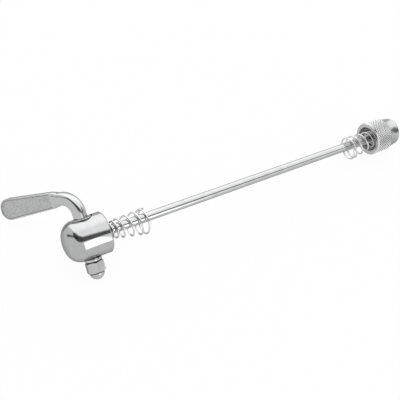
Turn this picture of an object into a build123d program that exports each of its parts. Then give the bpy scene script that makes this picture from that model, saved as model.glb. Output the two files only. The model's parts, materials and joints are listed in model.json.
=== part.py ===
from build123d import *
import math
import os

os.makedirs("parts", exist_ok=True)

# Quick release skewer with an enclosed cam, in millimetres and degrees.
# It is drawn with the rod along X, the lever's axis along Y and the clamp face of the housing at X = 0,
# and every piece is then turned together, so that the skewer lies on the floor as it comes to rest.

# Fits
running_clearance = 0.05
seat_gap = 0.1

# Rod
clamp_gap = 162.0
rod_d = 4.5
thread_d = 5.0
thread_length = 36.0
thread_chamfer = 0.25
rod_end_inset = 1.0

# Eye at the lever end of the rod, round the cam
eye_wall = 1.8
eye_thickness = 5.4
eye_collar_d = 7.6
eye_collar_length = 2.8
cam_play = 0.35

# Housing
housing_d = 19.8
barrel_length = 15.5
dome_depth = 6.0
dome_shoulder_radius = 4.2
clamp_edge = 0.7
cam_bore_d = 14.2
cam_bore_floor = 4.5
clamp_land = 0.5
serration_count = 36
serration_depth = 0.5
spot_face_d = 9.0
spot_face_gap = 0.3

# Lever
lever_axis_inset = 9.5
lever_swing = 52.0
journal_d = 10.6
journal_top = 8.0
cam_d = 7.4
cam_throw = 0.9
cam_length = 6.4
small_journal_d = 5.4
small_journal_end = 9.6
stud_d = 4.9
stud_length = 7.6
stud_chamfer = 0.5
bar_side = 5.8
bar_corner = 1.4
arm_height = 20.2
bend_radius = 8.0
neck_start = 8.2
panel_start = 12.1
blade_reach = 43.1
blade_root_width = 7.7
blade_tip_width = 10.7
neck_thickness = 4.5
blade_thickness = 4.0
blade_edge_radius = 0.5
tip_corner_radius = 4.8
panel_border = 0.65
panel_depth = 0.35

# Spring washer and cap nut on the lever's stud
washer_d = 8.2
washer_thickness = 1.2
washer_split = 0.7
washer_split_slant = 25.0
cap_across_flats = 8.0
cap_hex_height = 5.6
cap_chamfer = 0.5
cap_dome_d = 7.1
cap_edge_turn = 13.0

# Conical springs
wire_d = 0.8
spring_large_d = 12.8
spring_turns = 6.87
spring_tight_turns = 2.4
spring_tight_pitch = 2.2
spring_pitch = 4.6
spring_closing_turns = 1.5
spring_closed_pitch = 1.2
spring_bore_play = 0.3
spring_hang_gap = 0.25
steps_per_turn = 12
wire_sides = 8

# Adjusting nut
nut_d = 18.4
nut_chamfer = 0.4
nut_drum_length = 10.3
nut_length = 18.3
nut_end_d = 14.6
nut_waist_sag = 0.35
nut_end_radius = 1.0
nut_recess_d = 13.8
nut_recess_depth = 7.6

# Worked out from the values above
housing_length = barrel_length + dome_depth
lever_axis_x = -lever_axis_inset
bore_d = journal_d + 2 * running_clearance
small_bore_d = small_journal_d + 2 * running_clearance
spot_face_y = -(small_journal_end - spot_face_gap)
slot_width = cam_d + 2 * cam_play
slot_length = slot_width + 2 * cam_throw
stud_end = small_journal_end + stud_length
cap_seat = small_journal_end + washer_thickness
cap_dome_centre = cap_seat + cap_hex_height
rod_tip = clamp_gap + nut_length - rod_end_inset

# The cam draws the rod by twice its throw over half a turn. The stroke is shared out evenly over
# the swing, from closed, a quarter turn past the outward position, to open on the other side.
closed_swing = 90.0
rod_draw = cam_throw * (2 * (closed_swing - lever_swing) / 180 - 1)
eye_x = lever_axis_x + rod_draw
eye_collar_start = eye_x + slot_width / 2 + eye_wall + cam_throw
eye_collar_end = eye_collar_start + eye_collar_length


def x_cylinder(diameter, start, end):
    """A round bar about the rod's axis, from one X to another."""
    return Pos(start, 0, 0) * Rot(Y=90) * Cylinder(
        diameter / 2, end - start, align=(Align.CENTER, Align.CENTER, Align.MIN)
    )


def y_cylinder(diameter, low, high):
    """A round bar about the lever's axis, drawn at X = 0, from one Y to another."""
    return Pos(0, low, 0) * Rot(X=-90) * Cylinder(
        diameter / 2, high - low, align=(Align.CENTER, Align.CENTER, Align.MIN)
    )


def make_cam_housing():
    """Turned body with a domed end, bored for the eye and the lever, toothed on its clamp face."""
    radius = housing_d / 2
    shoulder = radius - dome_shoulder_radius
    cap_radius = (dome_depth**2 + shoulder**2 - dome_shoulder_radius**2) / (
        2 * (dome_depth - dome_shoulder_radius)
    )
    meet = math.degrees(math.atan2(shoulder, dome_depth - cap_radius))
    outline = (
        Polyline((-housing_length, 0), (0, 0), (0, radius), (-barrel_length, radius))
        + CenterArc((-barrel_length, shoulder), dome_shoulder_radius, 90, meet - 90)
        + CenterArc((cap_radius - housing_length, 0), cap_radius, meet, 180 - meet)
    )
    profile = make_face(outline)
    body = Rot(X=90) * revolve(profile, Axis.X)
    rim = body.edges().filter_by(GeomType.CIRCLE).group_by(Axis.X)[-1]
    body = chamfer(rim, clamp_edge)
    body -= Pos(lever_axis_x, 0, 0) * y_cylinder(bore_d, 0, housing_d)
    body -= Pos(lever_axis_x, 0, 0) * y_cylinder(small_bore_d, -housing_d, 0)
    body -= Pos(lever_axis_x, 0, 0) * y_cylinder(spot_face_d, -housing_d, spot_face_y)
    body -= x_cylinder(cam_bore_d, cam_bore_floor - housing_length, seat_gap)

    tooth = Polyline(
        (serration_depth, -2 * serration_depth),
        (serration_depth, 2 * serration_depth),
        (-serration_depth, 0),
        close=True,
    )
    groove = extrude(Plane.XZ * make_face(tooth), -radius)
    inner = cam_bore_d / 2 + clamp_land
    grooves = [
        Rot(X=turn * 360 / serration_count) * Pos(0, inner, 0) * groove
        for turn in range(serration_count)
    ]
    return body - grooves


def make_skewer_rod():
    """Steel rod forged to a slotted eye at the lever end, with a rolled thread at the nut end."""
    head = SlotCenterToCenter(2 * cam_throw, slot_width + 2 * eye_wall, rotation=90)
    slot = SlotCenterToCenter(2 * cam_throw, slot_width, rotation=90)
    eye = extrude(head, eye_thickness / 2, both=True)
    eye = Pos(eye_x, 0, 0) * Rot(X=90) * eye
    eye += x_cylinder(eye_thickness, eye_x, eye_collar_start)
    eye &= x_cylinder(cam_bore_d - 2 * seat_gap, eye_x - housing_d, eye_collar_start)
    eye -= Pos(eye_x, 0, 0) * Rot(X=90) * extrude(slot, housing_d, both=True)
    eye += x_cylinder(eye_collar_d, eye_collar_start, eye_collar_end)

    shank = x_cylinder(rod_d, eye_collar_end, rod_tip)
    thread = x_cylinder(thread_d, rod_tip - thread_length, rod_tip)
    thread = chamfer(thread.edges().filter_by(GeomType.CIRCLE), thread_chamfer)
    return eye + shank + thread


def make_cam_lever():
    """One forging: blade, bent neck, journal, eccentric cam, small journal and threaded stud."""
    shaft = y_cylinder(journal_d, eye_thickness / 2 + seat_gap, journal_top)
    shaft += Pos(0, 0, cam_throw) * y_cylinder(cam_d, -cam_length / 2, cam_length / 2)
    shaft += y_cylinder(small_journal_d, -small_journal_end, 0)
    stud = y_cylinder(stud_d, -stud_end, -small_journal_end)
    shaft += chamfer(stud.edges().group_by(Axis.Y)[0], stud_chamfer)

    path = FilletPolyline(
        (0, journal_top, 0), (0, arm_height, 0), (-neck_start, arm_height, 0), radius=bend_radius
    )
    bar = RectangleRounded(bar_side, bar_side, bar_corner)
    stem_plane = Plane((0, journal_top, 0), x_dir=(1, 0, 0), z_dir=(0, 1, 0))
    neck = sweep(stem_plane * bar, path=path)

    arm_plane = Plane((0, arm_height, 0), x_dir=(0, 1, 0), z_dir=(-1, 0, 0))
    root = RectangleRounded(blade_root_width, neck_thickness, bar_corner)
    neck += loft(
        [arm_plane.offset(neck_start) * bar, arm_plane.offset(panel_start) * root], ruled=True
    )

    blade = extrude(blade_outline(panel_start, 0), blade_thickness / 2, both=True)
    sides = blade.faces().filter_by(Axis.Z).edges().filter_by(lambda e: e.center().X < -panel_start)
    blade = fillet(sides, blade_edge_radius)
    panel = extrude(blade_outline(panel_start, panel_border), panel_depth)
    for face in (0, 180):
        blade -= Pos(0, arm_height, 0) * Rot(X=face) * Pos(
            0, -arm_height, blade_thickness / 2 - panel_depth
        ) * panel

    lever = shaft + neck + blade
    return Pos(lever_axis_x, 0, 0) * Rot(Y=-lever_swing) * lever


def blade_outline(start, inset):
    """The blade's face, wider towards its rounded tip, drawn in from its edge by the inset."""
    root = blade_root_width / 2 - inset
    tip = blade_tip_width / 2 - inset
    end = blade_reach - inset
    corners = Polyline((-start, -root), (-start, root), (-end, tip), (-end, -tip), close=True)
    face = make_face(corners)
    ends = face.vertices().group_by(Axis.X)[0]
    return Pos(0, arm_height, 0) * fillet(ends, tip_corner_radius - inset)


def make_lock_washer():
    """Split spring washer between the housing and the cap nut."""
    ring = y_cylinder(washer_d, -cap_seat, -small_journal_end)
    ring -= y_cylinder(stud_d + 2 * running_clearance, -cap_seat, -small_journal_end)
    split = Box(washer_split, 3 * washer_thickness, washer_d)
    middle = -small_journal_end - washer_thickness / 2
    ring -= Rot(Y=-cap_edge_turn) * Pos(0, middle, -washer_d / 2) * Rot(Z=washer_split_slant) * split
    return Pos(lever_axis_x, 0, 0) * ring


def make_cap_nut():
    """Hexagon cap nut with a round closed end."""
    flats = RegularPolygon(cap_across_flats / 2, 6, major_radius=False, rotation=30 - cap_edge_turn)
    stock = Pos(0, -cap_seat, 0) * Rot(X=90) * extrude(flats, cap_hex_height)
    corner_d = cap_across_flats / math.cos(math.radians(30))
    turned = y_cylinder(corner_d, -cap_dome_centre, -cap_seat)
    stock &= chamfer(turned.edges().filter_by(GeomType.CIRCLE), cap_chamfer)
    nut = stock + Pos(0, -cap_dome_centre, 0) * Sphere(cap_dome_d / 2)
    nut -= y_cylinder(stud_d + 2 * running_clearance, -stud_end - seat_gap, 0)
    return Pos(lever_axis_x, 0, 0) * nut


def wire_pitch(turn):
    """Advance of the wire per turn: tight at the small end, then open, almost closed at the large end."""
    opening = min(max(turn - spring_tight_turns, 0), 1)
    closing = min(max(turn - spring_turns + spring_closing_turns, 0), 1)
    opened = spring_tight_pitch + (spring_pitch - spring_tight_pitch) * opening
    return opened - (spring_pitch - spring_closed_pitch) * closing


def make_conical_spring(bore_round):
    """Conical wire spring along +X from its small end at X = 0, hung by its upper side on a rod."""
    small_r = bore_round / 2 + spring_bore_play + wire_d / 2
    large_r = spring_large_d / 2 - wire_d / 2
    steps = round(spring_turns * steps_per_turn)
    turn_step = spring_turns / steps
    along = 0.0
    points = []
    for step in range(steps + 1):
        turn = step * turn_step
        radius = small_r + (large_r - small_r) * min(turn / (spring_turns - 1), 1)
        angle = 2 * math.pi * turn
        points.append(Vector(along, radius * math.cos(angle), radius * math.sin(angle)))
        along += wire_pitch(turn + turn_step / 2) * turn_step

    sections = []
    for step, point in enumerate(points):
        ahead = points[min(step + 1, steps)] - points[max(step - 1, 0)]
        out = Vector(0, point.Y, point.Z)
        sections.append(Plane(point, x_dir=out, z_dir=ahead) * RegularPolygon(wire_d / 2, wire_sides))
    coil = loft(sections, ruled=True)
    flare = math.degrees(math.atan2(large_r - small_r, points[-1].X))
    hung = bore_round / 2 + spring_hang_gap + wire_d / 2
    return Pos(wire_d / 2, hung, 0) * Rot(Z=-flare) * Pos(0, -small_r, 0) * coil


def make_adjusting_nut():
    """Turned nut: plain clamp ring and recess towards the wheel, round drum, waisted taper to its end."""
    drum = nut_d / 2
    end = nut_end_d / 2
    middle = ((nut_drum_length + nut_length) / 2, (drum + end) / 2 - nut_waist_sag)
    outline = (
        Polyline((0, 0), (0, drum - nut_chamfer), (nut_chamfer, drum), (nut_drum_length, drum))
        + ThreePointArc((nut_drum_length, drum), middle, (nut_length, end))
        + Polyline((nut_length, end), (nut_length, 0), (0, 0))
    )
    profile = make_face(outline)
    rim = profile.vertices().sort_by(Axis.X)[-2:].sort_by(Axis.Y)[-1]
    nut = revolve(fillet(rim, nut_end_radius), Axis.X)
    nut -= x_cylinder(nut_recess_d, -seat_gap, nut_recess_depth)
    nut -= x_cylinder(thread_d + 2 * running_clearance, 0, nut_length)
    return Pos(clamp_gap, 0, 0) * nut


def resting_up():
    """The way that is up when the skewer lies on its cap nut, its lever's tip and its adjusting nut."""
    swing = math.radians(lever_swing)
    outward = Vector(-math.cos(swing), 0, -math.sin(swing))
    across = Vector(-math.sin(swing), 0, math.cos(swing))
    tip_low = arm_height - blade_tip_width / 2 + tip_corner_radius
    corner = Vector(lever_axis_x, tip_low, 0) + outward * (blade_reach - tip_corner_radius)
    up = Vector(0, 1, 1).normalized()
    for _ in range(40):
        cap = Vector(lever_axis_x, -cap_dome_centre, 0) - up * (cap_dome_d / 2)
        drum = Vector(clamp_gap + nut_drum_length, 0, 0)
        drum -= Vector(0, up.Y, up.Z).normalized() * (nut_d / 2)
        in_blade = up - across * up.dot(across)
        tip = corner - in_blade.normalized() * tip_corner_radius
        tip -= across * math.copysign(blade_thickness / 2, up.dot(across))
        up = (drum - cap).cross(tip - cap).normalized()
        if up.Y < 0:
            up = -up
    return up


up = resting_up()
floor = Plane((0, 0, 0), x_dir=Vector(1, 0, 0) - up * up.X, z_dir=up)

# The springs hang on the rod, so their turn about it follows from the way that is up.
hang = Rot(X=math.degrees(math.atan2(up.Z, up.Y)))
lever_spring = Pos(eye_collar_end + seat_gap, 0, 0) * hang * make_conical_spring(rod_d)
nut_spring_seat = Pos(clamp_gap + nut_recess_depth - seat_gap, 0, 0)
nut_spring = nut_spring_seat * hang * Rot(Y=180) * make_conical_spring(thread_d)

pieces = {
    "cam_housing": make_cam_housing(),
    "cam_lever": make_cam_lever(),
    "lock_washer": make_lock_washer(),
    "cap_nut": make_cap_nut(),
    "skewer_rod": make_skewer_rod(),
    "lever_side_spring": lever_spring,
    "nut_side_spring": nut_spring,
    "adjusting_nut": make_adjusting_nut(),
}

# The skewer stands on Z = 0, over the middle of its box.
laid = {name: floor.location.inverse() * piece for name, piece in pieces.items()}
box = Compound(children=[Compound(piece.solids()) for piece in laid.values()]).bounding_box()
middle = Pos(-box.center().X, -box.center().Y, -box.min.Z)
for name, piece in laid.items():
    export_step(middle * piece, f"parts/{name}.step")
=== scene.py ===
import json
import math

import bmesh
import bpy
from mathutils import Matrix, Vector


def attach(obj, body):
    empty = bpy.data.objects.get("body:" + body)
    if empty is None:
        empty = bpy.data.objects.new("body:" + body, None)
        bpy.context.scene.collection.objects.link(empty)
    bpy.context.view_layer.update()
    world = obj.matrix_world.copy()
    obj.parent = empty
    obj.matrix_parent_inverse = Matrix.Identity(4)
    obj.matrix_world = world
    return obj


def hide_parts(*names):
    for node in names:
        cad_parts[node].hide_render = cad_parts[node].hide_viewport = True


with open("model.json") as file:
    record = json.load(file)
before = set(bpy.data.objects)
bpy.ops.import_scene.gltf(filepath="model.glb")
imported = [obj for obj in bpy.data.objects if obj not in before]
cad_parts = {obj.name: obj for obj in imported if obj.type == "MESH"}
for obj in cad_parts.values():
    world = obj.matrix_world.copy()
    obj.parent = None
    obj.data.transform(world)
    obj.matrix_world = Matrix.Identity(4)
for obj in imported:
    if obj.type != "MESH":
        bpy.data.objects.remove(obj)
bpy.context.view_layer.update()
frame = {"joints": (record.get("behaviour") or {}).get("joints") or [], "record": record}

# Cam housing
# A cup turned from steel bar, bored for the rod's eye, cross bored for the lever's shaft, then polished and
# chrome plated. The clamp face at its open end is toothed, so that it bites into the dropout of the frame.

# Each piece is drawn in millimetres with the rod along X from the clamp face and the lever's axis along Y,
# and is then laid where the skewer comes to rest. Points nearer to each other than weld_reach become one.
mm = 0.001
weld_reach = 0.002
rod_axis = (1, 0, 0)
lever_axis = (0, 1, 0)
joints = {joint["name"]: joint for joint in frame["joints"]}
mounts = {mount["name"]: mount for mount in frame["record"]["mounts"]}
rod_way = Vector(joints["nut_turn"]["axis"])
lever_way = Vector(joints["lever_throw"]["axis"])
lie = Matrix((rod_way, lever_way, rod_way.cross(lever_way))).transposed().to_4x4()
lie.translation = mounts["housing_clamp_face"]["pos_m"]

housing_r = 9.9
barrel_length = 13.5
dome_depth = 7.5
dome_shoulder_r = 7.0
housing_edge = 0.15
clamp_edge = 0.7
cam_bore_r = 7.1
cam_bore_depth = 17.0
lever_axis_x = -9.5
journal_bore_d = 10.7
small_bore_d = 5.5
spot_face_d = 9.0
spot_face_y = -9.15
tooth_count = 36
tooth_depth = 0.5
tooth_start_r = 7.6


def arc(centre, radius, start, end, steps):
    """Points on a circle from one angle to another, in degrees."""
    turns = [math.radians(start + (end - start) * step / steps) for step in range(steps + 1)]
    return [(centre[0] + radius * math.cos(turn), centre[1] + radius * math.sin(turn)) for turn in turns]


def extrude(way):
    """Draws on what is selected by one step."""
    bpy.ops.mesh.extrude_region_move(TRANSFORM_OT_translate={"value": way})


def draw(points):
    """Starts a piece as one vertex and draws it on as a line through the points."""
    bpy.ops.object.select_all(action="DESELECT")
    bpy.ops.mesh.primitive_plane_add(size=mm)
    bpy.ops.object.mode_set(mode="EDIT")
    bpy.ops.mesh.select_mode(type="VERT")
    bpy.ops.mesh.merge(type="CENTER")
    line = [Vector(point).to_3d() * mm for point in points]
    bpy.ops.transform.translate(value=line[0])
    for here, there in zip(line, line[1:]):
        extrude(there - here)


def close_up():
    """Merges what meets in the piece that is being edited, turns its faces outwards and ends the editing."""
    bpy.ops.mesh.select_all(action="SELECT")
    bpy.ops.mesh.remove_doubles(threshold=weld_reach * mm)
    bpy.ops.mesh.normals_make_consistent(inside=False)
    bpy.ops.object.mode_set(mode="OBJECT")
    return bpy.context.object


def turn(axis, steps):
    """Turns the drawn line about an axis into a closed piece, as on a lathe."""
    bpy.ops.mesh.select_all(action="SELECT")
    bpy.ops.mesh.spin(steps=steps, angle=math.tau, center=(0, 0, 0), axis=axis)
    return close_up()


def apply(piece, modifier):
    """Applies a modifier that has just been set."""
    bpy.context.view_layer.objects.active = piece
    bpy.ops.object.modifier_apply(modifier=modifier.name)


def soften(piece, width, segments=3, angle=35):
    """Breaks the sharp edges of a piece."""
    edges = piece.modifiers.new("broken_edges", "BEVEL")
    edges.width = width * mm
    edges.segments = segments
    edges.limit_method = "ANGLE"
    edges.angle_limit = math.radians(angle)
    apply(piece, edges)


def bar(diameter, start, end, sides=128):
    """A round bar between two points, to drill with or to build on."""
    start, end = Vector(start) * mm, Vector(end) * mm
    bpy.ops.object.select_all(action="DESELECT")
    bpy.ops.mesh.primitive_cylinder_add(
        vertices=sides,
        radius=diameter / 2 * mm,
        depth=(end - start).length,
        location=(start + end) / 2,
        rotation=(end - start).to_track_quat("Z", "Y").to_euler(),
    )
    bpy.ops.object.transform_apply()
    return bpy.context.object


def block(middle, sides, turned=(0, 0, 0)):
    """A square block at its size and place, to cut with or to shape."""
    bpy.ops.object.select_all(action="DESELECT")
    bpy.ops.mesh.primitive_cube_add(
        size=mm, location=[part * mm for part in middle], rotation=turned, scale=sides
    )
    bpy.ops.object.transform_apply()
    return bpy.context.object


def join(piece, other, how):
    """Cuts, joins or trims a piece with another shape, which is used up."""
    meeting = piece.modifiers.new("meeting", "BOOLEAN")
    meeting.operation = how
    meeting.object = other
    meeting.solver = "EXACT"
    apply(piece, meeting)
    bpy.data.objects.remove(other)


def dress(piece, *finishes):
    """Gives a piece its finishes, with the main one first."""
    for finish in finishes:
        piece.data.materials.append(finish)


def lay(piece, name, place, crease=32):
    """Names a piece, puts it in its place and shades it."""
    piece.name = piece.data.name = name
    bpy.ops.object.select_all(action="DESELECT")
    piece.select_set(True)
    bpy.context.view_layer.objects.active = piece
    piece.matrix_world = place
    bpy.ops.object.transform_apply()
    bpy.ops.object.shade_smooth_by_angle(angle=math.radians(crease))


def plated(name, dark, light, smooth, rough, rim=0.5, fineness=1.0, bump=0.06, bump_height=0.05):
    """Bright plating over polished steel: faint clouding in its tone and gloss, and a slight waviness."""
    cloud_low, cloud_high = 0.3, 0.7
    finish = bpy.data.materials.new(name)
    finish.use_nodes = True
    nodes, links = finish.node_tree.nodes, finish.node_tree.links
    shader = nodes["Principled BSDF"]
    shader.inputs["Metallic"].default_value = 1.0
    shader.inputs["Specular Tint"].default_value = (rim, rim, rim, 1.0)
    place = nodes.new("ShaderNodeTexCoord")
    cloud = nodes.new("ShaderNodeTexNoise")
    cloud.inputs["Scale"].default_value = 240.0 * fineness
    cloud.inputs["Detail"].default_value = 5.0
    links.new(place.outputs["Object"], cloud.inputs["Vector"])
    tone = nodes.new("ShaderNodeValToRGB")
    tone.color_ramp.elements[0].position = cloud_low
    tone.color_ramp.elements[0].color = (*dark, 1.0)
    tone.color_ramp.elements[1].position = cloud_high
    tone.color_ramp.elements[1].color = (*light, 1.0)
    links.new(cloud.outputs["Fac"], tone.inputs["Fac"])
    links.new(tone.outputs["Color"], shader.inputs["Base Color"])
    gloss = nodes.new("ShaderNodeMapRange")
    gloss.inputs["From Min"].default_value = cloud_low
    gloss.inputs["From Max"].default_value = cloud_high
    gloss.inputs["To Min"].default_value = smooth
    gloss.inputs["To Max"].default_value = rough
    links.new(cloud.outputs["Fac"], gloss.inputs["Value"])
    links.new(gloss.outputs["Result"], shader.inputs["Roughness"])
    wave = nodes.new("ShaderNodeTexNoise")
    wave.inputs["Scale"].default_value = 420.0 * fineness
    wave.inputs["Detail"].default_value = 2.0
    links.new(place.outputs["Object"], wave.inputs["Vector"])
    relief = nodes.new("ShaderNodeBump")
    relief.inputs["Strength"].default_value = bump
    relief.inputs["Distance"].default_value = bump_height * mm
    links.new(wave.outputs["Fac"], relief.inputs["Height"])
    links.new(relief.outputs["Normal"], shader.inputs["Normal"])
    return finish


housing_chrome = plated("housing_chrome", (0.5, 0.503, 0.508), (0.55, 0.553, 0.558), 0.06, 0.12)

# The dome is a wide arc about the rod's axis, which runs on into the rounder arc of the shoulder.
shoulder = housing_r - dome_shoulder_r
dome_r = (dome_depth**2 + shoulder**2 - dome_shoulder_r**2) / (2 * (dome_depth - dome_shoulder_r))
dome_end = -barrel_length - dome_depth
meet = math.degrees(math.atan2(shoulder, dome_depth - dome_r))
dome = arc((dome_r + dome_end, 0), dome_r, 180, meet, steps=14)
dome += arc((-barrel_length, shoulder), dome_shoulder_r, meet, 90, steps=14)[1:]
draw(
    dome
    + [
        (-clamp_edge, housing_r),
        (0, housing_r - clamp_edge),
        (0, cam_bore_r),
        (-cam_bore_depth, cam_bore_r),
        (-cam_bore_depth, 0),
    ]
)
housing = turn(rod_axis, steps=192)
soften(housing, housing_edge)

# Across it run a bore for the lever's large journal, one for the small journal, and the washer's spot face.
for diameter, low, high in (
    (journal_bore_d, 0, 2 * housing_r),
    (small_bore_d, -2 * housing_r, 0),
    (spot_face_d, -2 * housing_r, spot_face_y),
):
    join(housing, bar(diameter, (lever_axis_x, low, 0), (lever_axis_x, high, 0)), "DIFFERENCE")

# One square cutter on its edge is copied round the clamp face, and leaves a groove between two teeth.
tooth_side = 2 * math.sqrt(2) * tooth_depth
cutter = block(
    (tooth_depth, tooth_start_r + housing_r / 2, 0),
    (tooth_side, housing_r, tooth_side),
    (0, math.radians(45), 0),
)
bpy.ops.object.mode_set(mode="EDIT")
bpy.ops.mesh.spin(
    steps=tooth_count - 1,
    angle=math.tau * (tooth_count - 1) / tooth_count,
    dupli=True,
    center=(0, 0, 0),
    axis=rod_axis,
)
bpy.ops.object.mode_set(mode="OBJECT")
join(housing, cutter, "DIFFERENCE")
dress(housing, housing_chrome)
lay(housing, "housing", lie)
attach(housing, "housing")
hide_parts("cam_housing")

# Cam lever
# One steel forging, polished and chrome plated: a flat blade, a square neck bent down to a large journal, an
# eccentric cam, a small journal and a stud. The blade's two faces are sunk and left with a sandy texture.
lever_swing = 52.0
journal_r = 5.3
journal_top = 9.5
journal_bottom = 2.8
journal_cone_in = 0.3
journal_cone_down = 1.4
journal_round_in = 0.2
journal_round_down = 0.15
cam_d = 7.4
cam_throw = 0.9
cam_half = 3.2
small_journal_r = 2.7
small_journal_end = -9.6
stud_r = 2.45
stud_end = -17.2
stud_chamfer = 0.5
neck_side = 6.0
neck_corner = 2.4
neck_edge = 0.25
neck_root = 1.0
neck_steps = 10
arm_height = 20.2
bend_r = 8.0
bend_steps = 20
neck_straight_end = -8.2
panel_start = -12.1
root_width = 7.7
root_thickness = 4.5
root_steps = 8
root_blend = 3.2
root_narrowing = 0.6
root_thinning = 0.8
blade_end = -42.5
tip_width = 10.9
tip_rise = 0.2
blade_thickness = 4.0
blade_edge_r = 0.5
tip_corner_r = 5.2
panel_border = 0.65
panel_depth = 0.35
panel_slope = 0.24
arm_middle = (0, arm_height * mm, 0)
blade_middle = Vector(((panel_start + blade_end) / 2, arm_height, 0)) * mm
in_lever = Matrix.Translation((lever_axis_x * mm, 0, 0)) @ Matrix.Rotation(math.radians(-lever_swing), 4, "Y")


def pick(kind, test):
    """Selects the vertices, edges or faces that pass the test, in the piece that is being edited."""
    shape = bmesh.from_edit_mesh(bpy.context.edit_object.data)
    bpy.ops.mesh.select_mode(type=kind)
    bpy.ops.mesh.select_all(action="DESELECT")
    for item in {"VERT": shape.verts, "EDGE": shape.edges, "FACE": shape.faces}[kind]:
        if test(item):
            item.select_set(True)
    shape.select_flush_mode()
    bmesh.update_edit_mesh(bpy.context.edit_object.data)


def square_on(part):
    """Whether one part of a face's normal is so large that the face looks straight along that axis."""
    return part > 0.999


def run(edge):
    """How far an edge runs along X, Y and Z."""
    near, far = edge.verts
    return Vector([abs(part) for part in near.co - far.co])


def at_tip(edge):
    """Whether an edge lies at the very end of the blade."""
    return max(vert.co.x for vert in edge.verts) < (blade_end + weld_reach) * mm


def on_rim(edge):
    """Whether an edge goes round one of the blade's two broad faces."""
    return run(edge).z < mm and (run(edge).x > weld_reach * mm or at_tip(edge))


def on_panel_wall(face, steep=0.3, flat=0.9):
    """Whether a face of the blade slopes inwards, as the walls of its two sunk faces do."""
    middle = face.calc_center_median()
    inwards = face.normal.xy.dot((middle - blade_middle).xy) < 0
    return inwards and steep < abs(face.normal.z) < flat and middle.x < panel_start * mm


lever_chrome = plated("lever_chrome", (0.56, 0.563, 0.568), (0.62, 0.623, 0.628), 0.07, 0.14)

# The sunk faces keep the grain of the forging die under a thin plating.
panel_grain = plated(
    "lever_panel_grain",
    (0.4, 0.403, 0.408),
    (0.76, 0.763, 0.768),
    0.4,
    0.6,
    fineness=7.0,
    bump=0.7,
    bump_height=0.08,
)

# A dark finish is painted where shade falls in narrow corners and gaps, standing in for that shade. The
# walls of the sunk faces are painted with a lighter shade.
painted_shade_finish = plated("painted_shade", (0.1, 0.1, 0.098), (0.2, 0.2, 0.196), 0.35, 0.5)
panel_wall_shade = plated("lever_panel_wall_painted_shade", (0.24, 0.242, 0.245), (0.36, 0.362, 0.365), 0.35, 0.5)

# The blade starts as a block, is tapered towards the neck and into it, and is rounded at its tip and edges.
blade_length = panel_start - blade_end
lever = block(
    (blade_end + blade_length / 2, arm_height + tip_rise, 0), (blade_length, tip_width, blade_thickness)
)
lever_finishes = (lever_chrome, panel_grain, panel_wall_shade, painted_shade_finish)
dress(lever, *lever_finishes)
bpy.ops.object.mode_set(mode="EDIT")
pick("FACE", lambda face: square_on(face.normal.x))
bpy.ops.transform.translate(value=(0, -tip_rise * mm, 0))
bpy.ops.transform.resize(value=(1, root_width / tip_width, 1), center_override=arm_middle)
extrude((root_blend * mm, 0, 0))
bpy.ops.transform.resize(value=(1, root_narrowing, root_thinning), center_override=arm_middle)
pick("EDGE", lambda edge: at_tip(edge) and run(edge).z > mm)
bpy.ops.mesh.bevel(offset=tip_corner_r * mm, segments=14, affect="EDGES")
pick("EDGE", on_rim)
bpy.ops.mesh.bevel(offset=blade_edge_r * mm, segments=5, affect="EDGES")
pick("FACE", lambda face: square_on(abs(face.normal.z)))
bpy.ops.mesh.inset(thickness=(panel_border - blade_edge_r) * mm)
bpy.ops.mesh.inset(thickness=panel_slope * mm, depth=-panel_depth * mm)
lever.active_material_index = lever_finishes.index(panel_grain)
bpy.ops.object.material_slot_assign()
# The walls of the sunk faces take a painted shade.
pick("FACE", on_panel_wall)
lever.active_material_index = lever_finishes.index(panel_wall_shade)
bpy.ops.object.material_slot_assign()
bpy.ops.object.mode_set(mode="OBJECT")

# The neck is drawn up from the journal as a square bar with round corners, bent over and widened to the
# blade. Short steps keep the straight stretch from being shaded as part of the bend.
bpy.ops.object.select_all(action="DESELECT")
bpy.ops.mesh.primitive_plane_add(
    size=neck_side * mm,
    location=(0, (journal_top - neck_root) * mm, 0),
    rotation=(math.radians(-90), 0, 0),
)
bpy.ops.object.transform_apply()
bpy.ops.object.mode_set(mode="EDIT")
bpy.ops.mesh.select_mode(type="VERT")
bpy.ops.mesh.bevel(affect="VERTICES", offset=neck_corner * mm, segments=6)
bpy.ops.mesh.select_all(action="SELECT")
bend_start = arm_height - bend_r
for step in range(neck_steps):
    extrude((0, (bend_start - journal_top + neck_root) / neck_steps * mm, 0))
bpy.ops.mesh.spin(
    steps=bend_steps, angle=math.radians(90), center=(-bend_r * mm, bend_start * mm, 0), axis=(0, 0, -1)
)
extrude(((neck_straight_end + bend_r) * mm, 0, 0))
width = thickness = neck_side
for step in range(1, root_steps + 1):
    ease = math.sin(math.pi / 2 * step / root_steps)
    new_width = neck_side + (root_width - neck_side) * ease
    new_thickness = neck_side + (root_thickness - neck_side) * ease
    extrude(((panel_start - neck_straight_end) / root_steps * mm, 0, 0))
    bpy.ops.transform.resize(
        value=(1, new_width / width, new_thickness / thickness), center_override=arm_middle
    )
    width, thickness = new_width, new_thickness
neck = close_up()
soften(neck, neck_edge, angle=60)
join(lever, neck, "UNION")
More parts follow.
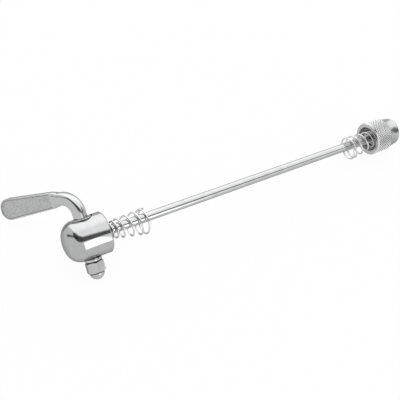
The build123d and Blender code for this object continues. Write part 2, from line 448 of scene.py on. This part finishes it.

# The journals and the stud are turned in one. The large journal's conical edge, which stands open in the
# housing's bore, is painted with shade.
cone_top = journal_top - journal_round_down
cone_bottom = journal_top - journal_cone_down
draw(
    [
        (0, journal_top),
        (journal_r - journal_cone_in - journal_round_in, journal_top),
        (journal_r - journal_cone_in, cone_top),
        (journal_r, cone_bottom),
        (journal_r, journal_bottom),
        (small_journal_r, journal_bottom),
        (small_journal_r, small_journal_end),
        (stud_r, small_journal_end),
        (stud_r, stud_end + stud_chamfer),
        (stud_r - stud_chamfer, stud_end),
        (0, stud_end),
    ]
)
journals = turn(lever_axis, steps=128)
dress(journals, *lever_finishes)
# The conical edge takes the painted shade.
for face in journals.data.polygons:
    if cone_bottom * mm < face.center.y < cone_top * mm:
        face.material_index = lever_finishes.index(painted_shade_finish)
join(lever, journals, "UNION")
join(lever, bar(cam_d, (0, -cam_half, cam_throw), (0, cam_half, cam_throw)), "UNION")
lay(lever, "lever", lie @ in_lever)
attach(lever, "lever")
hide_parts("cam_lever")

# Lock washer
# A split ring of bright spring steel, coiled from square wire and cut off at a slant. It lies on the stud
# under the cap nut and keeps it from working loose.
washer_r = 4.1
washer_bore_r = 2.5
washer_thickness = 1.2
washer_edge = 0.2
washer_split = 0.7
split_slant = 25.0
split_turn = -13.0
on_stud = Matrix.Translation((lever_axis_x * mm, 0, 0))

washer_top = small_journal_end
washer_bottom = small_journal_end - washer_thickness
draw(
    [
        (washer_bore_r, washer_top),
        (washer_r, washer_top),
        (washer_r, washer_bottom),
        (washer_bore_r, washer_bottom),
        (washer_bore_r, washer_top),
    ]
)
washer = turn(lever_axis, steps=96)
soften(washer, washer_edge)
saw_cut = block(
    (0, (washer_top + washer_bottom) / 2, -washer_r),
    (washer_split, 3 * washer_thickness, 2 * washer_r),
    (0, 0, math.radians(split_slant)),
)
join(washer, saw_cut, "DIFFERENCE")
washer_steel = plated("washer_steel", (0.56, 0.56, 0.55), (0.64, 0.64, 0.63), 0.12, 0.22)
dress(washer, washer_steel)
lay(washer, "washer", lie @ on_stud @ Matrix.Rotation(math.radians(split_turn), 4, "Y"))
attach(washer, "lever")
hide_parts("lock_washer")

# Cap nut
# A hexagon nut with a closed round end, turned and tapped from hexagon bar and chrome plated. It is screwed
# up on the lever's stud and covers the end of the thread.
cap_flats = 8.0
cap_hex_height = 5.6
cap_turn = -3.0
cap_edge = 0.14
cap_chamfer = 0.7
cap_chamfer_height = 0.42
cap_face_r = 3.2
cap_face_height = 0.5
cap_dome_r = 3.55
cap_dome_root = 1.0
cap_shade_band = 0.45
shade_reach = 0.02
stud_play = 0.1

cap_seat = washer_bottom
cap_shoulder = cap_seat - cap_face_height
cap_dome_y = cap_seat - cap_hex_height
corner_r = cap_flats / math.sqrt(3)
bpy.ops.object.select_all(action="DESELECT")
bpy.ops.mesh.primitive_cylinder_add(
    vertices=6,
    radius=corner_r * mm,
    depth=2 * cap_hex_height * mm,
    location=(0, (cap_seat + cap_dome_y) / 2 * mm, 0),
    rotation=(math.radians(90), math.radians(cap_turn), 0),
)
bpy.ops.object.transform_apply()
cap = bpy.context.object
soften(cap, cap_edge, angle=45)
draw(
    [
        (0, cap_seat),
        (cap_face_r, cap_seat),
        (cap_face_r, cap_shoulder),
        (corner_r - cap_chamfer, cap_shoulder),
        (corner_r, cap_shoulder - cap_chamfer_height),
        (corner_r, cap_dome_y + cap_chamfer_height),
        (corner_r - cap_chamfer, cap_dome_y),
        (0, cap_dome_y),
    ]
)
join(cap, turn(lever_axis, steps=144), "INTERSECT")
draw(
    [(0, cap_dome_y + cap_dome_root), (cap_dome_r, cap_dome_y + cap_dome_root)]
    + arc((0, cap_dome_y), cap_dome_r, 0, -90, steps=20)
)
join(cap, turn(lever_axis, steps=144), "UNION")
tapped = bar(2 * stud_r + stud_play, (0, stud_end - stud_play, 0), (0, cap_seat + cap_face_height, 0))
join(cap, tapped, "DIFFERENCE")
cap_chrome = plated("cap_chrome", (0.56, 0.563, 0.568), (0.62, 0.623, 0.628), 0.06, 0.12)
cap_finishes = (cap_chrome, painted_shade_finish)
dress(cap, *cap_finishes)

# Shade is painted in the corner under the washer and in the one between the hexagon and the round end.
for face in cap.data.polygons:
    under_washer = face.center.y > (cap_shoulder - shade_reach) * mm
    under_hexagon = (cap_dome_y - cap_shade_band) * mm < face.center.y < (cap_dome_y + shade_reach) * mm
    if under_washer or under_hexagon:
        face.material_index = cap_finishes.index(painted_shade_finish)
lay(cap, "cap", lie @ on_stud)
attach(cap, "lever")
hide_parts("cap_nut")

# Skewer rod
# Bright drawn steel, forged at one end to a slotted eye that the lever's cam works in, and rolled to a thread
# at the other. A rolled thread stands a little proud of the rod that it is rolled on.
rod_r = 2.25
rod_tip = 179.3
thread_r = 2.49
thread_root_r = 2.02
thread_pitch = 0.8
thread_turns = 45
thread_sides = 36
thread_root_flat = 0.28
thread_crest_flat = 0.12
thread_chamfer = 0.5
eye_x = -10.02
eye_wall = 1.8
eye_thickness = 5.4
eye_play = 0.2
slot_width = 8.1
full_round = 0.999
collar_r = 3.8
collar_start = -3.27
collar_end = -0.47
collar_chamfer = 0.3
overlap = 0.5


def slotted(width, height):
    """A block with two round ends along Z, for the eye and for its slot."""
    slab = block((eye_x, 0, 0), (width, height, width + 2 * cam_throw))
    bpy.ops.object.mode_set(mode="EDIT")
    pick("EDGE", lambda edge: run(edge).y > mm)
    # The rounds stop just short of meeting, so that they don't fold into each other.
    bpy.ops.mesh.bevel(offset=width / 2 * full_round * mm, segments=20, affect="EDGES")
    bpy.ops.object.mode_set(mode="OBJECT")
    return slab


rod = slotted(slot_width + 2 * eye_wall, eye_thickness)
join(rod, bar(2 * cam_bore_r - eye_play, (2 * dome_end, 0, 0), (collar_start, 0, 0)), "INTERSECT")
join(rod, bar(eye_thickness, (eye_x, 0, 0), (collar_start + overlap, 0, 0)), "UNION")
join(rod, slotted(slot_width, 3 * eye_thickness), "DIFFERENCE")
thread_start = rod_tip - thread_pitch * thread_turns
draw(
    [
        (collar_start, 0),
        (collar_start, collar_r - collar_chamfer),
        (collar_start + collar_chamfer, collar_r),
        (collar_end - collar_chamfer, collar_r),
        (collar_end, collar_r - collar_chamfer),
        (collar_end, rod_r),
        (thread_start + overlap, rod_r),
        (thread_start + overlap, 0),
    ]
)
join(rod, turn(rod_axis, steps=64), "UNION")

# One rib of the thread in section, repeated along the rod by the screw and trimmed to a chamfer at both ends.
root_half = thread_root_flat / 2
crest_half = thread_crest_flat / 2
rib = (
    (-1, thread_root_r),
    (root_half - 1, thread_root_r),
    (-0.5 - crest_half, thread_r),
    (-0.5 + crest_half, thread_r),
    (-root_half, thread_root_r),
    (0, thread_root_r),
)
draw([(thread_start + share * thread_pitch, radius) for share, radius in rib])
bpy.ops.object.mode_set(mode="OBJECT")
thread = bpy.context.object
rolling = thread.modifiers.new("rolling", "SCREW")
rolling.axis = "X"
rolling.angle = math.tau
rolling.screw_offset = thread_pitch * mm
rolling.iterations = thread_turns + 2
rolling.steps = rolling.render_steps = thread_sides
rolling.use_merge_vertices = True
rolling.merge_threshold = weld_reach * mm
apply(thread, rolling)
bpy.ops.object.select_all(action="DESELECT")
thread.select_set(True)
bpy.ops.object.mode_set(mode="EDIT")
bpy.ops.mesh.select_all(action="SELECT")
bpy.ops.mesh.remove_doubles(threshold=weld_reach * mm)
bpy.ops.mesh.select_all(action="DESELECT")
bpy.ops.mesh.select_mode(type="EDGE")
bpy.ops.mesh.select_non_manifold()
bpy.ops.mesh.edge_face_add()
close_up()
draw(
    [
        (thread_start, 0),
        (thread_start, thread_root_r),
        (thread_start + thread_chamfer, thread_r),
        (rod_tip - thread_chamfer, thread_r),
        (rod_tip, thread_root_r),
        (rod_tip, 0),
    ]
)
join(thread, turn(rod_axis, steps=64), "INTERSECT")
join(rod, thread, "UNION")
rod_steel = plated("rod_steel", (0.52, 0.523, 0.528), (0.6, 0.603, 0.608), 0.06, 0.12)
dress(rod, rod_steel)
lay(rod, "rod", lie)
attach(rod, "rod")
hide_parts("skewer_rod")

# Conical springs
# Bright spring wire wound to a cone, tight at its small end and open after it. The two hang on the rod with
# their small ends outwards, and hold the clamp faces apart while the wheel is put in.
wire_r = 0.43
spring_large_r = 6.0
spring_turns = 6.87
tight_turns = 2.4
tight_pitch = 2.2
open_pitch = 4.6
closing_turns = 1.5
closed_pitch = 1.2
bore_play = 0.3
hang_gap = 0.25
seat_gap = 0.1
wire_steps = 40
thread_clear_r = 2.5
nut_x = 162.0
nut_recess_depth = 7.6
up = lie.to_3x3().transposed() @ Vector((0, 0, 1))
hang = Matrix.Rotation(math.atan2(up.z, up.y), 4, "X")
spring_wire = plated("spring_wire", (0.78, 0.78, 0.775), (0.88, 0.88, 0.875), 0.14, 0.24, 0.25)


def coil(name, core_r, place):
    """Draws the wire's middle line from the small end, gives it its round section and hangs it on the rod."""
    small_r = core_r + bore_play + wire_r
    along = 0.0
    line = []
    steps = round(spring_turns * wire_steps)
    for step in range(steps + 1):
        turned = step / steps * spring_turns
        radius = small_r + (spring_large_r - small_r) * min(turned / (spring_turns - 1), 1)
        line.append((along, radius * math.cos(math.tau * turned), radius * math.sin(math.tau * turned)))
        # The wire climbs at the pitch that it has half a step on.
        turned += spring_turns / steps / 2
        opening = min(max(turned - tight_turns, 0), 1)
        closing = min(max(turned - spring_turns + closing_turns, 0), 1)
        pitch = tight_pitch + (open_pitch - tight_pitch) * opening - (open_pitch - closed_pitch) * closing
        along += pitch * spring_turns / steps
    draw(line)
    bpy.ops.object.mode_set(mode="OBJECT")
    bpy.ops.object.convert(target="CURVE")
    wire = bpy.context.object.data
    wire.bevel_depth = wire_r * mm
    wire.bevel_resolution = 4
    wire.use_fill_caps = True
    bpy.ops.object.convert(target="MESH")
    bpy.ops.object.mode_set(mode="EDIT")
    spring = close_up()
    flare = math.atan2(spring_large_r - small_r, line[-1][0])
    hung = Matrix.Translation((wire_r * mm, (core_r + hang_gap + wire_r) * mm, 0))
    hung @= Matrix.Rotation(-flare, 4, "Z") @ Matrix.Translation((0, -small_r * mm, 0))
    dress(spring, spring_wire)
    lay(spring, name, lie @ place @ hung)
    return spring


collar_seat = Matrix.Translation(((collar_end + seat_gap) * mm, 0, 0))
lever_spring = coil("lever_spring", rod_r, collar_seat @ hang)
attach(lever_spring, "rod")
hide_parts("lever_side_spring")
nut_seat = Matrix.Translation(((nut_x + nut_recess_depth - seat_gap) * mm, 0, 0))
nut_spring = coil("nut_spring", thread_clear_r, nut_seat @ hang @ Matrix.Rotation(math.pi, 4, "Y"))
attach(nut_spring, "nut_spring")
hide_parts("nut_side_spring")

# Adjusting nut
# Turned from steel bar, bored out to take the spring, diamond knurled on its drum for the fingers, tapped for
# the rod's thread and satin chrome plated. It sets how hard the lever clamps.
nut_r = 9.2
nut_edge = 0.6
nut_edge_round = 0.18
knurl_start = 0.65
knurl_cells = 7
knurl_round = 42
knurl_depth = 0.3
knurl_undercut = 0.05
knurl_wall = 0.3
groove_shade_start = 0.5
groove_shade_full = 0.9
groove_shade_tone = 0.3
drum_length = 10.3
drum_end_r = 9.1
nut_length = 18.1
nut_end_r = 7.5
waist_sag = 0.2
nut_end_edge = 1.4
nut_end_arc = 80
recess_r = 6.9
recess_finish_end = 8.0
thread_bore_r = 2.55
glint_band = 0.42
slack = 0.1

knurl_pitch = math.tau * nut_r / knurl_round
knurl_end = knurl_start + knurl_cells * knurl_pitch
knurl_root = knurl_depth + knurl_undercut

# The waist is a shallow arc through three points, from the drum to the small end.
drum_point = Vector((drum_length, drum_end_r - knurl_depth / 2))
end_point = Vector((nut_length - nut_end_edge, nut_end_r))
chord = end_point - drum_point
half = chord.length / 2
sag = waist_sag * chord.x / chord.length
waist_r = (half**2 + sag**2) / (2 * sag)
waist_out = Vector((-chord.y, chord.x)) / chord.length
waist_centre = (drum_point + end_point) / 2 + waist_out * (waist_r - sag)
ends = [math.degrees(math.atan2(*(point - waist_centre).yx)) for point in (drum_point, end_point)]
draw(
    [
        (nut_recess_depth, thread_bore_r),
        (nut_recess_depth, recess_r),
        (0, recess_r),
        (0, nut_r - nut_edge),
        (nut_edge, nut_r),
        (knurl_start, nut_r),
        (knurl_start + knurl_depth, nut_r - knurl_root),
        (knurl_end - knurl_undercut, drum_end_r - knurl_root),
    ]
    + arc(waist_centre, waist_r, *ends, steps=14)
    + arc((nut_length - nut_end_edge, nut_end_r - nut_end_edge), nut_end_edge, nut_end_arc, 0, steps=8)
    + [(nut_length, thread_bore_r), (nut_recess_depth, thread_bore_r)]
)
nut = turn(rod_axis, steps=160)
soften(nut, nut_edge_round, angle=30)

nut_chrome = plated("nut_satin_chrome", (0.54, 0.543, 0.548), (0.61, 0.613, 0.618), 0.16, 0.26)

# The grooves of the knurl are painted with a grey shade, and the knurl's plating is painted lighter than the
# rest of the nut's. The grooves are found by their distance from the nut's middle line, which is levelled
# for the drum's slight taper.
knurl_chrome = plated("nut_knurl_painted_shading", (0.93, 0.933, 0.938), (0.98, 0.983, 0.988), 0.44, 0.56, 0.9)
knurl_nodes, knurl_links = knurl_chrome.node_tree.nodes, knurl_chrome.node_tree.links
knurl_shader = knurl_nodes["Principled BSDF"]
bare_tone = knurl_shader.inputs["Base Color"].links[0].from_socket
from_axis = knurl_nodes.new("ShaderNodeVectorMath")
from_axis.operation = "SUBTRACT"
from_axis.inputs[1].default_value = lie @ Vector((nut_x * mm, 0, 0))
off_axis = knurl_nodes.new("ShaderNodeVectorMath")
off_axis.operation = "CROSS_PRODUCT"
off_axis.inputs[1].default_value = rod_way
reach = knurl_nodes.new("ShaderNodeVectorMath")
reach.operation = "LENGTH"
along_axis = knurl_nodes.new("ShaderNodeVectorMath")
along_axis.operation = "DOT_PRODUCT"
along_axis.inputs[1].default_value = rod_way
level_reach = knurl_nodes.new("ShaderNodeMath")
level_reach.operation = "MULTIPLY_ADD"
level_reach.inputs[1].default_value = (nut_r - drum_end_r) / (knurl_end - knurl_start)
groove_shade = knurl_nodes.new("ShaderNodeMapRange")
groove_shade.inputs["From Min"].default_value = (nut_r - groove_shade_full * knurl_depth) * mm
groove_shade.inputs["From Max"].default_value = (nut_r - groove_shade_start * knurl_depth) * mm
groove_shade.inputs["To Min"].default_value = groove_shade_tone
groove_shade.inputs["To Max"].default_value = 1.0
groove_shaded = knurl_nodes.new("ShaderNodeVectorMath")
groove_shaded.operation = "SCALE"
knurl_links.new(knurl_nodes["Texture Coordinate"].outputs["Object"], from_axis.inputs[0])
knurl_links.new(from_axis.outputs["Vector"], off_axis.inputs[0])
knurl_links.new(off_axis.outputs["Vector"], reach.inputs[0])
knurl_links.new(from_axis.outputs["Vector"], along_axis.inputs[0])
knurl_links.new(along_axis.outputs["Value"], level_reach.inputs[0])
knurl_links.new(reach.outputs["Value"], level_reach.inputs[2])
knurl_links.new(level_reach.outputs[0], groove_shade.inputs["Value"])
knurl_links.new(bare_tone, groove_shaded.inputs[0])
knurl_links.new(groove_shade.outputs["Result"], groove_shaded.inputs["Scale"])
knurl_links.new(groove_shaded.outputs["Vector"], knurl_shader.inputs["Base Color"])

# The knurl is a sleeve of square cells. They are cut across to diamonds, and each diamond is drawn up to a
# low pyramid.
bpy.ops.object.select_all(action="DESELECT")
bpy.ops.mesh.primitive_cone_add(
    vertices=knurl_round,
    radius1=(nut_r - knurl_depth) * mm,
    radius2=(drum_end_r - knurl_depth) * mm,
    depth=(knurl_end - knurl_start) * mm,
    end_fill_type="NOTHING",
    location=((knurl_start + knurl_end) / 2 * mm, 0, 0),
    rotation=(0, math.radians(90), 0),
)
bpy.ops.object.transform_apply()
bpy.ops.object.mode_set(mode="EDIT")
pick("EDGE", lambda edge: run(edge).x > mm)
bpy.ops.mesh.subdivide(number_cuts=knurl_cells - 1)
bpy.ops.mesh.select_all(action="SELECT")
bpy.ops.mesh.poke()


def runs_square(edge):
    """Whether an edge of the sleeve runs along it or round it, away from its two ends."""
    middle = sum(vert.co.x for vert in edge.verts) / 2
    inside = (knurl_start + slack) * mm < middle < (knurl_end - slack) * mm
    return inside and min(run(edge).x, run(edge).yz.length) < slack * mm


pick("EDGE", runs_square)
bpy.ops.mesh.dissolve_edges(use_verts=False)
bpy.ops.mesh.select_all(action="SELECT")
bpy.ops.mesh.poke(offset=knurl_depth * mm)
bpy.ops.mesh.select_all(action="SELECT")
bpy.ops.mesh.fill_holes(sides=0)
knurl = close_up()
inside_r = drum_end_r - knurl_root - knurl_wall
join(knurl, bar(2 * inside_r, (0, 0, 0), (nut_length, 0, 0)), "DIFFERENCE")

# The recess keeps the fine marks of the drill, so that it is duller than the outside, and its colour is
# painted lighter, standing in for the light that bounces about in it. The chamfer at the mouth is painted
# brighter, standing in for a glint.
nut_bore_painted_light = plated("nut_bore_painted_light", (0.84, 0.843, 0.848), (0.92, 0.923, 0.928), 0.3, 0.45)
nut_painted_glint = plated("nut_chamfer_painted_glint", (0.76, 0.763, 0.768), (0.82, 0.823, 0.828), 0.1, 0.18)
nut_finishes = (nut_chrome, knurl_chrome, nut_bore_painted_light, nut_painted_glint)
dress(nut, *nut_finishes)
dress(knurl, *nut_finishes)
for face in knurl.data.polygons:
    face.material_index = nut_finishes.index(knurl_chrome)
# The recess takes the painted light, and the mouth's chamfer the painted glint.
for face in nut.data.polygons:
    depth, radius = face.center.x / mm, face.center.yz.length / mm
    if slack < depth < recess_finish_end and radius < recess_r + slack:
        face.material_index = nut_finishes.index(nut_bore_painted_light)
    if depth < knurl_start and radius > nut_r - glint_band:
        face.material_index = nut_finishes.index(nut_painted_glint)
join(nut, knurl, "UNION")
lay(nut, "nut", lie @ Matrix.Translation((nut_x * mm, 0, 0)))
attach(nut, "nut")
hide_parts("adjusting_nut")

# Studio
# A white sweep in an even white room, with a bright ceiling, a darker gap in front of it, and a tall soft box
# to the right of the camera that draws the white stripe on the chrome.
floor_size = 6.0
wall_light = 0.83
right_wall_extra = 0.2
ceiling_light = 1.32
far_ceiling_extra = 0.3
soft_box_light = 1.25
gap_shade = 0.88
left_gap_shade = 0.85
doorway_shade = 0.9
degree = math.pi / 180

bpy.ops.object.select_all(action="DESELECT")
bpy.ops.mesh.primitive_plane_add(size=floor_size)
floor = bpy.context.object
floor.name = "floor"
white = bpy.data.materials.new("white_sweep")
white.use_nodes = True
nodes, links = white.node_tree.nodes, white.node_tree.links
paper = nodes["Principled BSDF"]
paper.inputs["Base Color"].default_value = (0.96, 0.96, 0.96, 1)
paper.inputs["Roughness"].default_value = 0.9
paper.inputs["Specular IOR Level"].default_value = 0.0
path = nodes.new("ShaderNodeLightPath")
surface = paper.outputs[0]
for ray, strength, amount in (("Is Glossy Ray", 0.82, 0.8), ("Is Camera Ray", 1.0, 0.95)):
    glow = nodes.new("ShaderNodeEmission")
    glow.inputs["Color"].default_value = (1, 1, 1, 1)
    glow.inputs["Strength"].default_value = strength
    share = nodes.new("ShaderNodeMath")
    share.operation = "MULTIPLY"
    share.inputs[1].default_value = amount
    mix = nodes.new("ShaderNodeMixShader")
    links.new(path.outputs[ray], share.inputs[0])
    links.new(share.outputs[0], mix.inputs["Fac"])
    links.new(surface, mix.inputs[1])
    links.new(glow.outputs[0], mix.inputs[2])
    surface = mix.outputs[0]
links.new(surface, nodes["Material Output"].inputs["Surface"])
floor.data.materials.append(white)

room = bpy.data.worlds.new("studio")
bpy.context.scene.world = room
room.use_nodes = True
nodes, links = room.node_tree.nodes, room.node_tree.links
nodes.clear()


def reckon(how, *values):
    """One sum in the room's light: each value is a number or the output of an earlier sum."""
    node = nodes.new("ShaderNodeMath")
    node.operation = how
    for socket, value in zip(node.inputs, values):
        if isinstance(value, (int, float)):
            socket.default_value = value
        else:
            links.new(value, socket)
    return node.outputs[0]


def ramp(value, low, high, start=0.0, end=1.0):
    """A smooth step between two levels as a value passes from low to high."""
    node = nodes.new("ShaderNodeMapRange")
    node.interpolation_type = "SMOOTHSTEP"
    for socket, number in zip(("From Min", "From Max", "To Min", "To Max"), (low, high, start, end)):
        node.inputs[socket].default_value = number
    links.new(value, node.inputs["Value"])
    return node.outputs["Result"]


way = nodes.new("ShaderNodeTexCoord").outputs["Generated"]
parts = nodes.new("ShaderNodeSeparateXYZ")
links.new(way, parts.inputs[0])
right, back, up_way = parts.outputs


def side(across, along, upward):
    """How far a direction lies on the bright side of a straight edge in the room."""
    reach = reckon("ADD", reckon("MULTIPLY", right, across), reckon("MULTIPLY", back, along))
    return reckon("ADD", reach, reckon("MULTIPLY", up_way, upward))


def both(*masks):
    """Where all of the masks hold."""
    held = masks[0]
    for mask in masks[1:]:
        held = reckon("MULTIPLY", held, mask)
    return held


# Heights and bearings in the room are in degrees, up from the floor and from straight in front to the right.
height = reckon("DIVIDE", reckon("ARCSINE", up_way), degree)
bearing = reckon("DIVIDE", reckon("ARCTAN2", right, reckon("MULTIPLY", back, -1)), degree)
ceiling = both(
    ramp(side(0.5, 1, 0.05), -0.25, -0.04),
    ramp(side(1, 0.5, 0.45), 0.05, 0.35),
    ramp(height, -2, 4),
)
in_front = both(ramp(bearing, -140, -120), ramp(bearing, 88, 100, 1, 0))
over_right_wall = both(ramp(side(0.3, 1, 0.9), -0.03, 0.03), ramp(bearing, 8, 20))
over_wall = reckon("MAXIMUM", ramp(height, 44, 49), over_right_wall)
gap = both(over_wall, reckon("SUBTRACT", 1, ceiling), in_front)
left_edge = side(0.574, 0.738, 0.355)
left_gap = both(
    ramp(left_edge, -0.2, -0.1),
    ramp(left_edge, -0.04, 0.06, 1, 0),
    ramp(right, -0.45, -0.3, 1, 0),
)
doorway = both(
    ramp(height, 0, 12),
    ramp(height, 26, 33, 1, 0),
    ramp(bearing, 52, 60),
    ramp(bearing, 84, 94, 1, 0),
)
soft_box = both(ramp(height, 36, 42, 1, 0), ramp(bearing, 7, 10), ramp(bearing, 24, 28, 1, 0))
right_wall = both(ramp(bearing, 10, 30), ramp(bearing, 170, 179, 1, 0))
wall = reckon("ADD", wall_light, reckon("MULTIPLY", right_wall, right_wall_extra))
lit = reckon("ADD", ceiling_light, reckon("MULTIPLY", ramp(back, 0.1, 0.6), far_ceiling_extra))
level = reckon("ADD", wall, reckon("MULTIPLY", ceiling, reckon("SUBTRACT", lit, wall)))
level = reckon("ADD", level, reckon("MULTIPLY", soft_box, soft_box_light))
for shade, depth in ((gap, gap_shade), (left_gap, left_gap_shade), (doorway, doorway_shade)):
    level = reckon("MULTIPLY", level, reckon("SUBTRACT", 1, reckon("MULTIPLY", shade, depth)))
seen = nodes.new("ShaderNodeLightPath").outputs["Is Camera Ray"]
level = reckon("ADD", reckon("MULTIPLY", level, reckon("SUBTRACT", 1, seen)), seen)
light = nodes.new("ShaderNodeBackground")
light.inputs["Color"].default_value = (1, 1, 1, 1)
links.new(level, light.inputs["Strength"])
links.new(light.outputs[0], nodes.new("ShaderNodeOutputWorld").inputs["Surface"])

# The camera looks down on the skewer from its lever end, as far off as the photograph's perspective asks. The
# rod's way, the lever's axis and the clamp face's middle are as the camera sees them: right, up and back.
photo_rod = Vector((0.8551, 0.3025, -0.4210))
photo_lever = Vector((-0.2581, 0.9527, 0.1602))
photo_face = Vector((-43.64, -14.51, -302.9)) * mm
photo_lens = 58.85
photo_lie = Matrix((photo_rod, photo_lever, photo_rod.cross(photo_lever))).transposed()
look = (lie.to_3x3() @ photo_lie.inverted()).to_quaternion().to_matrix()
camera = bpy.data.objects.new("camera", bpy.data.cameras.new("camera"))
bpy.context.scene.collection.objects.link(camera)
camera.data.lens = photo_lens
camera.data.sensor_width = 36
camera.data.clip_start = 0.01
camera.matrix_world = Matrix.Translation(lie.translation - look @ photo_face) @ look.to_4x4()
bpy.context.scene.camera = camera
bpy.context.scene.view_settings.view_transform = "Standard"
